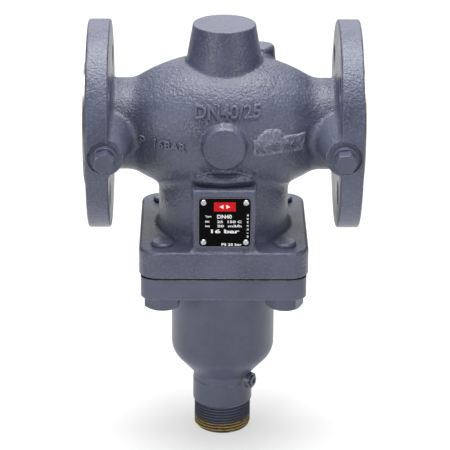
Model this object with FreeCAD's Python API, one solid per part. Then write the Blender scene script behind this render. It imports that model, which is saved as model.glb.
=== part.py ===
import FreeCAD, Part
import math
import os

# Pressure reducing valve, DN 40, PN 25: a flanged globe body with a balanced plug, in millimetres.
#
# The origin is where the pipe axis (X) meets the stem axis (Z). Flow runs from -X to +X, and the
# square bonnet and the thread for the actuator hang below the body. The plug opens downwards.

# Driving dimensions: pipe flanges
FACE_TO_FACE = 200.0
FLANGE_RADIUS = 75.0
FLANGE_THICKNESS = 19.0
RAISED_FACE_RADIUS = 44.0
RAISED_FACE_HEIGHT = 3.0
BOLT_CIRCLE_RADIUS = 55.0
FLANGE_HOLE_RADIUS = 9.0
PORT_RADIUS = 20.0
NECK_RADIUS = 33.0
NECK_FILLET = 5.0
RIM_ROUND = 1.5

# Driving dimensions: cast barrel and skirt
BARREL_RADIUS = 51.8
BARREL_ARC = 118.5
BARREL_WALL = 7.3
BARREL_NECK_BLEND = 18.0
SKIRT_RADIUS = 47.0
SKIRT_BORE_RADIUS = 40.0
SKIRT_BLEND = 10.0
SQUARE_BLEND = 5.0

# Driving dimensions: the square joint between body and bonnet
BODY_SQUARE = (121.5, 122.0)
BODY_SQUARE_TOP = -76.5
BODY_SQUARE_BOTTOM = -96.0
BODY_SQUARE_CORNER = 15.0
GASKET_THICKNESS = 1.5
BONNET_SQUARE = (119.0, 120.0)
BONNET_SQUARE_BOTTOM = -113.5
BONNET_SQUARE_CORNER = 10.0
JOINT_BOLT_OFFSET = 44.0
JOINT_BOLT_RADIUS = 8.0
JOINT_BOLT_CLEARANCE_RADIUS = 8.75
JOINT_BOLT_LENGTH = 40.0
JOINT_BOLT_HEAD = 10.0
JOINT_BOLT_ACROSS_FLATS = 24.0

# Driving dimensions: bosses and pads on the casting
TOP_BOSS_TOP = 75.0
TOP_BOSS_RADIUS = 22.4
TOP_BOSS_FOOT_RADIUS = 28.6
TOP_BOSS_FOOT = 40.0
FRONT_BOSS_FACE = 56.0
FRONT_BOSS_RADIUS = 14.5
FRONT_BOSS_FOOT_RADIUS = 18.5
REAR_LUG_PLACE = (27.0, 26.0)
REAR_LUG_TOP = 51.5
REAR_LUG_RADIUS = 9.5
REAR_LUG_BLEND = 4.0
TOP_BOSS_BLEND = 3.0
FRONT_BOSS_BLEND = 3.5
PAD_BLEND = 3.0
TAPPING_BLEND = 5.0
PLATE_PAD_HALF_WIDTH = 22.2
PLATE_PAD_TOP = -30.0
PLATE_PAD_FACE = 58.0
TAPPING_X = 83.5
TAPPING_SEAT = 73.0
TAPPING_BOSS_RADIUS = 13.3
TAPPING_BOSS_FOOT_RADIUS = 19.0
TAPPING_PLUG_RADIUS = 6.5
TAPPING_HOLE_RADIUS = 4.0

# Driving dimensions: seat and partition
PARTITION_THICKNESS = 9.0
SEAT_BOSS_RADIUS = 28.0
SEAT_BOSS_TOP = -4.0
SEAT_BOSS_BOTTOM = -17.0
SEAT_RADIUS = 19.0
SEAT_SHANK_RADIUS = 21.5
SEAT_FLANGE_RADIUS = 25.5
SEAT_EDGE = -21.0

# Driving dimensions: bonnet
CUP_RADIUS = 38.0
CUP_BORE_RADIUS = 32.0
CUP_FLOOR = -160.0
NECK_COLLAR_TOP = -200.0
NECK_COLLAR_RADIUS = 22.0
NIPPLE_SEAT = -218.0
NIPPLE_SHANK_RADIUS = 17.0
NIPPLE_TOP = -190.0

# Driving dimensions: actuator thread, G 1 1/4
THREAD_CREST_RADIUS = 20.955
THREAD_ROOT_RADIUS = 19.476
THREAD_PITCH = 2.309
THREAD_CREST_WIDTH = 0.5
THREAD_END = -240.0
MOUTH_RADIUS = 14.0

# Driving dimensions: stem and what rides on it
STEM_RADIUS = 5.0
GUIDE_CLEARANCE = 0.05
PLUG_SEAT_RADIUS = 6.0
PLUG_RADIUS = 23.0
PLUG_BOTTOM = -34.0
HUB_BOTTOM = -42.0
HEAD_BOTTOM = -46.0
BALANCE_HOLE_CIRCLE = 14.5
BELLOWS_RADIUS = 25.0
BELLOWS_ROOT_RADIUS = 19.0
BELLOWS_BOTTOM = -150.0
BELLOWS_TOP = -52.0
BELLOWS_FOLDS = 12
SPRING_RADIUS = 14.0
SPRING_WIRE_RADIUS = 1.5
SPRING_TURNS = 12.0

# Driving dimensions: name plate and its rivets
PLATE_SIZE = 37.0
PLATE_THICKNESS = 0.8
PLATE_CORNER = 3.5
PLATE_CENTRE_X = 0.5
PLATE_CENTRE_Z = -53.7
RIVET_SPACING = 30.0
RIVET_HEAD_RADIUS = 2.15
RIVET_HEAD_HEIGHT = 1.0
RIVET_SHANK_RADIUS = 1.0

# Driving dimensions: lug and lock screw on the neck
LUG_ANGLE = -29.0
LUG_HEIGHT = -199.5
LUG_ROOT = 12.0
LUG_FACE = 25.2
LUG_ROOT_RADIUS = 7.5
LUG_FACE_RADIUS = 6.0
LOCK_SCREW_RADIUS = 2.5
LOCK_SCREW_POINT = 15.5
LOCK_SCREW_HEAD_RADIUS = 4.4
LOCK_SCREW_HEAD_HEIGHT = 1.4
LOCK_SCREW_HEAD_ROUND = 0.5
LOCK_SCREW_SOCKET = 4.0
LOCK_SCREW_SOCKET_DEPTH = 1.0

# Driving dimensions: tapping plugs. The turns are where each hexagon stopped, in degrees.
PLUG_WASHER_THICKNESS = 1.5
PLUG_COLLAR_RADIUS = 8.8
PLUG_COLLAR_HEIGHT = 3.0
PLUG_HEX_ACROSS_FLATS = 13.0
PLUG_HEX_HEIGHT = 9.0
PLUG_SHANK_LENGTH = 11.0
PLUG_TURNS = {-1: 80.0, 1: 66.0}

# Driving dimensions: guides, seals and the bellows base
BUSH_RADIUS = 8.0
UPPER_BORE_TOP = 66.0
GUIDE_BUSH_RADIUS = 9.0
RETAINER_BOTTOM = -149.9
RETAINER_TOP = -147.9
BASE_TOP = -150.0
BASE_BOTTOM = -158.0
GLAND_SHOULDER = -206.0
SEAL_CENTRES = (-192.0, -198.0)
SEAL_WIRE_RADIUS = 1.85

# Driving dimensions: heights of the plug's nose and of what is on the stem
PLUG_NOSE_TOP = -8.0
PLUG_WASHER_TOP = -6.5
PLUG_NUT_TOP = 1.5
STEM_FOOT = -224.0
LOCK_NUT_TOP = -215.5
COUPLING_TOP = -220.0
COUPLING_BOTTOM = -231.0

ORIGIN = FreeCAD.Vector(0, 0, 0)
ALONG_X = FreeCAD.Vector(1, 0, 0)
ALONG_Y = FreeCAD.Vector(0, 1, 0)
ALONG_Z = FreeCAD.Vector(0, 0, 1)
TOWARDS_FRONT = FreeCAD.Vector(0, -1, 0)
SIDES = (-1, 1)
CORNERS = [(sx, sy) for sx in SIDES for sy in SIDES]


def vec(x, y, z):
    return FreeCAD.Vector(x, y, z)


def rod(radius, bottom, top, x=0.0, y=0.0):
    """A cylinder along Z between two heights."""
    return Part.makeCylinder(radius, top - bottom, vec(x, y, bottom), ALONG_Z)


def tube(outer, inner, bottom, top):
    """A ring about the stem axis between two heights."""
    return rod(outer, bottom, top).cut(rod(inner, bottom - 1, top + 1))


def fuse_all(shapes):
    """One shape from many, with the seams between their faces taken out."""
    first, rest = shapes[0], shapes[1:]
    return first.fuse(rest).removeSplitter()


def cut_all(shape, tools):
    """A shape less several tools, which may overlap each other."""
    return shape.cut(fuse_all(tools))


def turned(outline):
    """A solid turned about the stem axis from a closed outline of (radius, height) corners."""
    corners = [vec(r, 0, z) for r, z in outline]
    face = Part.Face(Part.makePolygon(corners + corners[:1]))
    return face.revolve(ORIGIN, ALONG_Z, 360)


def rounded_block(size, corner, bottom, top):
    """A square plate with rounded upright corners, centred on the stem axis."""
    width, depth = size
    block = Part.makeBox(width, depth, top - bottom, vec(-width / 2, -depth / 2, bottom))
    upright = [e for e in block.Edges if abs(e.BoundBox.ZLength - (top - bottom)) < 1e-6]
    return block.makeFillet(corner, upright)


def edges_about(shape, low, high):
    """The edges whose middles lie inside the box between two corners."""
    box = FreeCAD.BoundBox(*low, *high)
    return [e for e in shape.Edges if box.isInside(e.CenterOfMass)]


def rim_edges(shape, height):
    """The edges that lie in one level plane."""
    boxes = [(e, e.BoundBox) for e in shape.Edges]
    return [e for e, box in boxes if abs(box.ZMin - height) < 0.01 and abs(box.ZMax - height) < 0.01]


def blend(shape, radius, low, high):
    """The shape with a fillet along the edges whose middles lie inside a box."""
    return shape.makeFillet(radius, edges_about(shape, low, high))


def hexagon(across_flats, bottom, top, turn=0.0, chamfer_top=False, chamfer_bottom=False):
    """A hexagonal prism along Z, its ends chamfered as a bolt head's are. Turn 0 has a corner at +X."""
    corner = across_flats / math.sqrt(3)
    angles = [math.radians(60 * i + turn) for i in range(7)]
    points = [vec(corner * math.cos(a), corner * math.sin(a), bottom) for a in angles]
    prism = Part.Face(Part.makePolygon(points)).extrude(vec(0, 0, top - bottom))
    slope = math.tan(math.radians(30))
    flat = across_flats / 2 * 0.96
    outer = corner + 1
    drop = (outer - flat) * slope
    low = [(flat, bottom), (outer, bottom + drop)] if chamfer_bottom else [(outer, bottom)]
    high = [(outer, top - drop), (flat, top)] if chamfer_top else [(outer, top)]
    return prism.common(turned([(0, bottom)] + low + high + [(0, top)]))


def to_front(shape, x, distance):
    """A shape built along +Z, turned to point along -Y and put at x, with its base at y = -distance."""
    placed = shape.copy()
    placed.rotate(ORIGIN, ALONG_X, 90)
    placed.translate(vec(x, -distance, 0))
    return placed


# ---------------------------------------------------------------- valve body


def barrel_centre():
    """Distance of the barrel arc's centre from the pipe axis, on the far side."""
    return BARREL_RADIUS - BARREL_ARC


def spool_half():
    """Half of the outside of barrel, neck and flange, turned about the pipe axis from x = 0 outwards."""
    centre = barrel_centre()
    blend_r = NECK_RADIUS + BARREL_NECK_BLEND
    reach = BARREL_ARC + BARREL_NECK_BLEND
    blend_x = math.sqrt(reach ** 2 - (blend_r - centre) ** 2)
    meet_x = blend_x * BARREL_ARC / reach
    meet_r = centre + (blend_r - centre) * BARREL_ARC / reach
    face_x = FACE_TO_FACE / 2
    rim_x = face_x - RAISED_FACE_HEIGHT
    back_x = face_x - FLANGE_THICKNESS
    rim_r = FLANGE_RADIUS

    def at(x, r):
        return vec(x, 0, r)

    def arc(centre_x, centre_r, radius, start, end):
        """An arc about a centre between two angles in degrees from +X."""
        angles = [math.radians(a) for a in (start, (start + end) / 2, end)]
        points = [at(centre_x + radius * math.cos(a), centre_r + radius * math.sin(a)) for a in angles]
        return Part.Arc(*points).toShape()

    def line(a, b):
        return Part.LineSegment(a, b).toShape()

    meet_angle = math.degrees(math.atan2(meet_r - centre, meet_x))
    edges = [
        line(at(0, 0), at(0, BARREL_RADIUS)),
        arc(0, centre, BARREL_ARC, 90, meet_angle),
        arc(blend_x, blend_r, BARREL_NECK_BLEND, meet_angle + 180, 270),
        line(at(blend_x, NECK_RADIUS), at(back_x - NECK_FILLET, NECK_RADIUS)),
        arc(back_x - NECK_FILLET, NECK_RADIUS + NECK_FILLET, NECK_FILLET, 270, 360),
        line(at(back_x, NECK_RADIUS + NECK_FILLET), at(back_x, rim_r - RIM_ROUND)),
        arc(back_x + RIM_ROUND, rim_r - RIM_ROUND, RIM_ROUND, 180, 90),
        line(at(back_x + RIM_ROUND, rim_r), at(rim_x - RIM_ROUND, rim_r)),
        arc(rim_x - RIM_ROUND, rim_r - RIM_ROUND, RIM_ROUND, 90, 0),
        line(at(rim_x, rim_r - RIM_ROUND), at(rim_x, RAISED_FACE_RADIUS)),
        line(at(rim_x, RAISED_FACE_RADIUS), at(face_x, RAISED_FACE_RADIUS)),
        line(at(face_x, RAISED_FACE_RADIUS), at(face_x, 0)),
        line(at(face_x, 0), at(0, 0)),
    ]
    return Part.Face(Part.Wire(edges)).revolve(ORIGIN, ALONG_X, 360)


def barrel_core(wall):
    """The barrel's own bulge, thinned by a wall all round, down to the port bore."""
    centre = barrel_centre()
    radius = BARREL_ARC - wall
    end_x = math.sqrt(radius ** 2 - (PORT_RADIUS - centre) ** 2)
    ends = [vec(-end_x, 0, PORT_RADIUS), vec(end_x, 0, PORT_RADIUS)]
    edges = [
        Part.Arc(ends[0], vec(0, 0, centre + radius), ends[1]).toShape(),
        Part.LineSegment(ends[1], vec(end_x, 0, 0)).toShape(),
        Part.LineSegment(vec(end_x, 0, 0), vec(-end_x, 0, 0)).toShape(),
        Part.LineSegment(vec(-end_x, 0, 0), ends[0]).toShape(),
    ]
    return Part.Face(Part.Wire(edges)).revolve(ORIGIN, ALONG_X, 360)


def spool():
    """Barrel, necks and flanges, with the tapping bosses and the rear lug blended into them."""
    right = spool_half()
    left = right.mirror(ORIGIN, ALONG_X)
    shape = fuse_all([right, left] + [tapping_boss(side) for side in SIDES])
    for side in SIDES:
        reach = sorted((side * 60, side * 82))
        shape = blend(shape, TAPPING_BLEND, (reach[0], -60, -19), (reach[1], -20, 19))
    shape = fuse_all([shape, rear_lug()])
    return blend(shape, REAR_LUG_BLEND, (20, 15, 25), (35, 40, 48))


def casting_outside():
    """The whole casting without its cavities: each boss and pad is added and blended in turn."""
    shape = fuse_all([spool(), rod(SKIRT_RADIUS, BODY_SQUARE_TOP, 0)])
    shape = blend(shape, SKIRT_BLEND, (-40, -40, -45), (40, 40, -20))
    shape = fuse_all([shape, plate_pad()])
    shape = blend(shape, PAD_BLEND, (-23, -47, -60), (23, -40, -22))
    shape = fuse_all([shape, body_square()])
    shape = blend(shape, SQUARE_BLEND, (-50, -52, BODY_SQUARE_TOP - 0.1), (50, 50, BODY_SQUARE_TOP + 0.1))
    shape = fuse_all([shape, top_boss()])
    shape = blend(shape, TOP_BOSS_BLEND, (-25, -25, 44), (25, 25, 52))
    shape = fuse_all([shape, front_boss()])
    return blend(shape, FRONT_BOSS_BLEND, (-15, -53, -17), (15, -48, 17))


def body_square():
    """The square flange at the foot of the skirt."""
    square = rounded_block(BODY_SQUARE, BODY_SQUARE_CORNER, BODY_SQUARE_BOTTOM, BODY_SQUARE_TOP)
    return square.makeFillet(2.5, rim_edges(square, BODY_SQUARE_TOP))


def top_boss():
    """The drafted boss above the barrel, which holds the upper guide of the stem."""
    height = TOP_BOSS_TOP - TOP_BOSS_FOOT
    boss = Part.makeCone(TOP_BOSS_FOOT_RADIUS, TOP_BOSS_RADIUS, height, vec(0, 0, TOP_BOSS_FOOT), ALONG_Z)
    return boss.makeFillet(0.8, rim_edges(boss, TOP_BOSS_TOP))


def front_boss():
    """The round blank boss on the front of the barrel."""
    depth = 12.0
    boss = Part.makeCone(FRONT_BOSS_FOOT_RADIUS, FRONT_BOSS_RADIUS, depth)
    boss = boss.makeFillet(1.0, rim_edges(boss, depth))
    return to_front(boss, 0, FRONT_BOSS_FACE - depth)


def rear_lug():
    """The small lug behind the top boss."""
    foot = 30.0
    place = vec(*REAR_LUG_PLACE, foot)
    lug = Part.makeCone(REAR_LUG_RADIUS + 2, REAR_LUG_RADIUS, REAR_LUG_TOP - foot, place, ALONG_Z)
    return lug.makeFillet(3.5, rim_edges(lug, REAR_LUG_TOP))


def plate_pad():
    """The raised pad on the front of the skirt that carries the name plate."""
    depth = 38.0
    pad_size = (2 * PLATE_PAD_HALF_WIDTH, depth, PLATE_PAD_TOP - BODY_SQUARE_TOP)
    pad = Part.makeBox(*pad_size, vec(-PLATE_PAD_HALF_WIDTH, -PLATE_PAD_FACE, BODY_SQUARE_TOP))
    front_edges = [
        e for e in pad.Edges
        if e.CenterOfMass.y < 1 - PLATE_PAD_FACE and e.CenterOfMass.z > BODY_SQUARE_TOP + 1
    ]
    return pad.makeFillet(2.5, front_edges)


def tapping_boss(side):
    """The drafted boss behind a flange rim that takes an impulse tapping."""
    foot = 25.0
    height = TAPPING_SEAT - foot
    cone = Part.makeCone(
        TAPPING_BOSS_FOOT_RADIUS, TAPPING_BOSS_RADIUS, height, vec(side * TAPPING_X, -foot, 0), TOWARDS_FRONT
    )
    limit = FACE_TO_FACE / 2 - RAISED_FACE_HEIGHT - RIM_ROUND
    span = 2 * FLANGE_RADIUS
    between_rims = Part.makeBox(2 * limit, span, span, vec(-limit, -FLANGE_RADIUS, -FLANGE_RADIUS))
    return cone.common(between_rims)


def partition():
    """The wall between inlet and outlet, with the boss that carries the seat ring."""
    deck_top = -6.0
    deck_bottom = deck_top - PARTITION_THICKNESS
    outline = [
        (-70, -23.7), (-28, deck_top), (24, deck_top), (64, 35),
        (70, 26), (28, deck_bottom), (-24, deck_bottom), (-64, -32),
    ]
    corners = [vec(x, -BARREL_RADIUS, z) for x, z in outline]
    wall = Part.Face(Part.makePolygon(corners + corners[:1])).extrude(vec(0, 2 * BARREL_RADIUS, 0))
    wall = wall.common(barrel_core(BARREL_WALL / 2))
    boss = rod(SEAT_BOSS_RADIUS, SEAT_BOSS_BOTTOM, SEAT_BOSS_TOP)
    return fuse_all([wall, boss]).cut(rod(SEAT_SHANK_RADIUS, SEAT_BOSS_BOTTOM - 5, SEAT_BOSS_TOP + 5))


def flange_holes():
    """The four bolt holes of each pipe flange, straddling the centre lines."""
    offset = BOLT_CIRCLE_RADIUS / math.sqrt(2)
    back_x = FACE_TO_FACE / 2 - FLANGE_THICKNESS
    holes = []
    for side in SIDES:
        for sy, sz in CORNERS:
            start = vec(side * (back_x - 1), sy * offset, sz * offset)
            holes.append(Part.makeCylinder(FLANGE_HOLE_RADIUS, FLANGE_THICKNESS + 2, start, ALONG_X * side))
    return holes


def tapping_holes():
    """The spot face, the plug's bore and the drilling to the port, for each tapping."""
    tools = []
    for side in SIDES:
        seat = vec(side * TAPPING_X, -TAPPING_SEAT, 0)
        tools.append(Part.makeCylinder(TAPPING_BOSS_RADIUS - 1.5, 5, seat, TOWARDS_FRONT))
        tools.append(Part.makeCylinder(TAPPING_PLUG_RADIUS, 12, seat, ALONG_Y))
        tools.append(Part.makeCylinder(TAPPING_HOLE_RADIUS, TAPPING_SEAT - 10, seat, ALONG_Y))
    return tools


def rivet_places():
    """Where the four rivets of the name plate stand: x and height."""
    half = RIVET_SPACING / 2
    return [(PLATE_CENTRE_X + sx * half, PLATE_CENTRE_Z + sz * half) for sx, sz in CORNERS]


def rivet_holes():
    """The blind holes of the name plate's rivets, in the pad."""
    places = [vec(x, -PLATE_PAD_FACE, z) for x, z in rivet_places()]
    return [Part.makeCylinder(RIVET_SHANK_RADIUS, 3, place, ALONG_Y) for place in places]


def joint_holes(radius, bottom, top):
    """Four upright holes for the joint bolts."""
    return [rod(radius, bottom, top, sx * JOINT_BOLT_OFFSET, sy * JOINT_BOLT_OFFSET) for sx, sy in CORNERS]


def build_valve_body():
    outside = casting_outside()
    port = Part.makeCylinder(PORT_RADIUS, FACE_TO_FACE + 2, vec(-FACE_TO_FACE / 2 - 1, 0, 0), ALONG_X)
    hollow = [
        barrel_core(BARREL_WALL),
        port,
        rod(SKIRT_BORE_RADIUS, BODY_SQUARE_BOTTOM - 1, 0),
        rod(BUSH_RADIUS, 0, UPPER_BORE_TOP),
    ]
    body = cut_all(outside, hollow)
    body = fuse_all([body, partition()])
    threaded = joint_holes(JOINT_BOLT_RADIUS, BODY_SQUARE_BOTTOM - 1, BODY_SQUARE_TOP + 1)
    for tool in flange_holes() + tapping_holes() + threaded + rivet_holes():
        body = body.cut(tool)
    return body


# ---------------------------------------------------------------- name plate


def build_name_plate():
    plate = rounded_block((PLATE_SIZE, PLATE_SIZE), PLATE_CORNER, 0, PLATE_THICKNESS)
    plate = to_front(plate, PLATE_CENTRE_X, PLATE_PAD_FACE)
    plate.translate(vec(0, 0, PLATE_CENTRE_Z))
    for x, z in rivet_places():
        plate = plate.cut(Part.makeCylinder(RIVET_SHANK_RADIUS, 5, vec(x, -PLATE_PAD_FACE - 3, z), ALONG_Y))
    return plate


def build_name_plate_rivets():
    cap_radius = (RIVET_HEAD_RADIUS ** 2 + RIVET_HEAD_HEIGHT ** 2) / (2 * RIVET_HEAD_HEIGHT)
    dome = Part.makeSphere(cap_radius, vec(0, 0, RIVET_HEAD_HEIGHT - cap_radius))
    head = dome.common(rod(RIVET_HEAD_RADIUS, 0, 2))
    rivet = fuse_all([head, rod(RIVET_SHANK_RADIUS, -PLATE_THICKNESS - 2.5, 0.2)])
    rivets = []
    for x, z in rivet_places():
        one = to_front(rivet, x, PLATE_PAD_FACE + PLATE_THICKNESS)
        one.translate(vec(0, 0, z))
        rivets.append(one)
    return Part.Compound(rivets)


# ---------------------------------------------------------------- bonnet and its joint


def build_bonnet_gasket():
    size = (BONNET_SQUARE[0] - 1.2, BONNET_SQUARE[1] - 1.2)
    bottom = BODY_SQUARE_BOTTOM - GASKET_THICKNESS
    sheet = rounded_block(size, BONNET_SQUARE_CORNER, bottom, BODY_SQUARE_BOTTOM)
    holes = joint_holes(JOINT_BOLT_CLEARANCE_RADIUS + 0.25, bottom - 1, BODY_SQUARE_BOTTOM + 1)
    return cut_all(sheet, holes + [rod(SKIRT_BORE_RADIUS, bottom - 1, BODY_SQUARE_BOTTOM + 1)])


def bonnet_outside():
    """The cup: straight wall, round shoulder, cone and neck, turned about the stem axis."""
    shoulder_radius = 17.0
    shoulder_top = -170.0
    slope = 0.9
    turn_angle = math.atan2(1, slope)
    shoulder_end = vec(
        CUP_RADIUS - shoulder_radius + shoulder_radius * math.sin(turn_angle), 0,
        shoulder_top - shoulder_radius * math.cos(turn_angle),
    )
    middle = turn_angle + (math.pi / 2 - turn_angle) / 2
    shoulder_mid = vec(
        CUP_RADIUS - shoulder_radius + shoulder_radius * math.sin(middle), 0,
        shoulder_top - shoulder_radius * math.cos(middle),
    )
    neck_radius = NECK_COLLAR_RADIUS - 0.4
    neck_top = shoulder_end.z - (shoulder_end.x - neck_radius) / slope
    points = [
        vec(0, 0, BONNET_SQUARE_BOTTOM + 5), vec(CUP_RADIUS, 0, BONNET_SQUARE_BOTTOM + 5),
        vec(CUP_RADIUS, 0, shoulder_top), shoulder_end, vec(neck_radius, 0, neck_top),
        vec(neck_radius, 0, NECK_COLLAR_TOP), vec(NECK_COLLAR_RADIUS, 0, NECK_COLLAR_TOP - 0.4),
        vec(NECK_COLLAR_RADIUS, 0, NIPPLE_SEAT + 0.8), vec(NECK_COLLAR_RADIUS - 0.8, 0, NIPPLE_SEAT),
        vec(0, 0, NIPPLE_SEAT),
    ]
    edges = [Part.LineSegment(a, b).toShape() for a, b in zip(points, points[1:] + points[:1])]
    edges[2] = Part.Arc(points[2], shoulder_mid, points[3]).toShape()
    cup = Part.Face(Part.Wire(edges)).revolve(ORIGIN, ALONG_Z, 360)
    return cup


def neck_lug():
    """The drafted lug on the neck that the lock screw goes into."""
    length = LUG_FACE - LUG_ROOT
    lug = Part.makeCone(LUG_ROOT_RADIUS, LUG_FACE_RADIUS, length, vec(LUG_ROOT, 0, LUG_HEIGHT), ALONG_X)
    lug.rotate(ORIGIN, ALONG_Z, LUG_ANGLE)
    return lug


def build_bonnet():
    square_top = BODY_SQUARE_BOTTOM - GASKET_THICKNESS
    square = rounded_block(BONNET_SQUARE, BONNET_SQUARE_CORNER, BONNET_SQUARE_BOTTOM, square_top)
    square = square.makeChamfer(0.8, rim_edges(square, BONNET_SQUARE_BOTTOM))
    spigot = rod(SKIRT_BORE_RADIUS - 0.2, square_top - 2, square_top + 4.5)
    outside = fuse_all([square, bonnet_outside(), neck_lug(), spigot])
    groove = rod(CUP_BORE_RADIUS + 1.5, RETAINER_BOTTOM, RETAINER_TOP)
    bores = [
        rod(CUP_BORE_RADIUS, CUP_FLOOR, square_top + 5),
        groove,
        rod(PORT_RADIUS, CUP_FLOOR - 8, CUP_FLOOR + 1),
        rod(GUIDE_BUSH_RADIUS, NIPPLE_TOP - 1, CUP_FLOOR),
        rod(NIPPLE_SHANK_RADIUS, NIPPLE_SEAT - 1, NIPPLE_TOP),
    ]
    screw_hole = Part.makeCylinder(LOCK_SCREW_RADIUS, 20, vec(LUG_ROOT, 0, LUG_HEIGHT), ALONG_X)
    screw_hole.rotate(ORIGIN, ALONG_Z, LUG_ANGLE)
    holes = joint_holes(JOINT_BOLT_CLEARANCE_RADIUS, BONNET_SQUARE_BOTTOM - 1, square_top + 1)
    bonnet = cut_all(outside, bores)
    for tool in holes + [screw_hole]:
        bonnet = bonnet.cut(tool)
    return bonnet


def build_nipple_lock_screw():
    """Screw with a low round head and a hexagon socket. Its point stands in the nipple's shank."""
    head = rod(LOCK_SCREW_HEAD_RADIUS, 0, LOCK_SCREW_HEAD_HEIGHT)
    head = head.makeFillet(LOCK_SCREW_HEAD_ROUND, rim_edges(head, LOCK_SCREW_HEAD_HEIGHT))
    shank = rod(LOCK_SCREW_RADIUS, LOCK_SCREW_POINT - LUG_FACE, LOCK_SCREW_HEAD_HEIGHT / 2)
    socket_floor = LOCK_SCREW_HEAD_HEIGHT - LOCK_SCREW_SOCKET_DEPTH
    screw = fuse_all([shank, head]).cut(hexagon(LOCK_SCREW_SOCKET, socket_floor, LOCK_SCREW_HEAD_HEIGHT + 1))
    screw.rotate(ORIGIN, ALONG_Y, 90)
    screw.translate(ALONG_X * LUG_FACE)
    screw.translate(vec(0, 0, LUG_HEIGHT))
    screw.rotate(ORIGIN, ALONG_Z, LUG_ANGLE)
    return screw


def build_bonnet_bolts():
    """Hexagon bolts with heads under the bonnet flange. Each head stops at its own angle."""
    head_turns = {(-1, -1): 22.0, (1, -1): 4.0, (-1, 1): 40.0, (1, 1): 13.0}
    under_head = BONNET_SQUARE_BOTTOM
    head_end = under_head - JOINT_BOLT_HEAD
    tip = under_head + JOINT_BOLT_LENGTH
    bolts = []
    for corner, turn in head_turns.items():
        head = hexagon(JOINT_BOLT_ACROSS_FLATS, head_end, under_head, turn, chamfer_bottom=True)
        shank = turned([
            (0, under_head - 1), (JOINT_BOLT_RADIUS, under_head - 1), (JOINT_BOLT_RADIUS, tip - 1.2),
            (JOINT_BOLT_RADIUS - 1.2, tip), (0, tip),
        ])
        bolt = fuse_all([head, shank])
        bolt.translate(vec(corner[0] * JOINT_BOLT_OFFSET, corner[1] * JOINT_BOLT_OFFSET, 0))
        bolts.append(bolt)
    return Part.Compound(bolts)


# ---------------------------------------------------------------- tapping plugs


def build_tapping_plug(side):
    collar_top = PLUG_COLLAR_HEIGHT
    shank = rod(TAPPING_PLUG_RADIUS, -PLUG_SHANK_LENGTH - PLUG_WASHER_THICKNESS + 1, 0.5)
    collar = rod(PLUG_COLLAR_RADIUS, 0, collar_top)
    collar = collar.makeFillet(0.6, rim_edges(collar, collar_top))
    head_end = collar_top + PLUG_HEX_HEIGHT
    head = hexagon(PLUG_HEX_ACROSS_FLATS, collar_top - 0.5, head_end, PLUG_TURNS[side], chamfer_top=True)
    return to_front(fuse_all([shank, collar, head]), side * TAPPING_X, TAPPING_SEAT + PLUG_WASHER_THICKNESS)


def build_tapping_washer(side):
    washer = tube(PLUG_COLLAR_RADIUS + 0.2, TAPPING_PLUG_RADIUS + 0.1, 0, PLUG_WASHER_THICKNESS)
    return to_front(washer, side * TAPPING_X, TAPPING_SEAT)


# ---------------------------------------------------------------- actuator nipple


def build_actuator_nipple():
    """Nipple with a pipe thread, drawn as even grooves of the thread's pitch and depth."""
    low, top = THREAD_END, NIPPLE_SEAT
    groove_half = (THREAD_PITCH - THREAD_CREST_WIDTH) / 2
    chamfer = 2.2
    outline = [(0, top), (THREAD_CREST_RADIUS, top)]
    turns = int((top - low - chamfer) / THREAD_PITCH)
    for turn in range(turns):
        crest_end = top - THREAD_CREST_WIDTH - turn * THREAD_PITCH
        outline += [
            (THREAD_CREST_RADIUS, crest_end),
            (THREAD_ROOT_RADIUS, crest_end - groove_half),
            (THREAD_CREST_RADIUS, crest_end - 2 * groove_half),
        ]
    outline += [(THREAD_CREST_RADIUS, low + chamfer), (THREAD_CREST_RADIUS - chamfer, low), (0, low)]
    nipple = fuse_all([turned(outline), rod(NIPPLE_SHANK_RADIUS, top - 1, NIPPLE_TOP)])
    nipple = cut_all(nipple, [
        rod(GUIDE_BUSH_RADIUS, low, NIPPLE_TOP + 1),
        rod(MOUTH_RADIUS, low - 1, GLAND_SHOULDER),
    ])
    dimple = Part.makeCylinder(LOCK_SCREW_RADIUS, 10, vec(LOCK_SCREW_POINT, 0, LUG_HEIGHT), ALONG_X)
    dimple.rotate(ORIGIN, ALONG_Z, LUG_ANGLE)
    return nipple.cut(dimple)


# ---------------------------------------------------------------- seat, guides and seals


def build_seat_ring():
    """Screwed seat ring. The plug closes on the chamfer of its lower edge."""
    gasket_side = SEAT_BOSS_BOTTOM - 0.8
    return turned([
        (SEAT_RADIUS, SEAT_BOSS_TOP - 0.5), (SEAT_SHANK_RADIUS - 0.1, SEAT_BOSS_TOP - 0.5),
        (SEAT_SHANK_RADIUS - 0.1, gasket_side), (SEAT_FLANGE_RADIUS, gasket_side),
        (SEAT_FLANGE_RADIUS, SEAT_EDGE), (SEAT_RADIUS + 2, SEAT_EDGE), (SEAT_RADIUS, SEAT_EDGE + 2),
    ])


def build_seat_ring_gasket():
    return tube(SEAT_FLANGE_RADIUS, SEAT_SHANK_RADIUS, SEAT_BOSS_BOTTOM - 0.8, SEAT_BOSS_BOTTOM)


def build_upper_guide_bush():
    return tube(BUSH_RADIUS, STEM_RADIUS + GUIDE_CLEARANCE, 42, 64)


def build_stem_guide_bush():
    return tube(GUIDE_BUSH_RADIUS, STEM_RADIUS + GUIDE_CLEARANCE, NIPPLE_TOP, NIPPLE_TOP + 18)


def build_stem_o_rings():
    ring_radius = STEM_RADIUS + GUIDE_CLEARANCE + SEAL_WIRE_RADIUS
    rings = [Part.makeTorus(ring_radius, SEAL_WIRE_RADIUS, vec(0, 0, z), ALONG_Z) for z in SEAL_CENTRES]
    return Part.Compound(rings)


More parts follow.
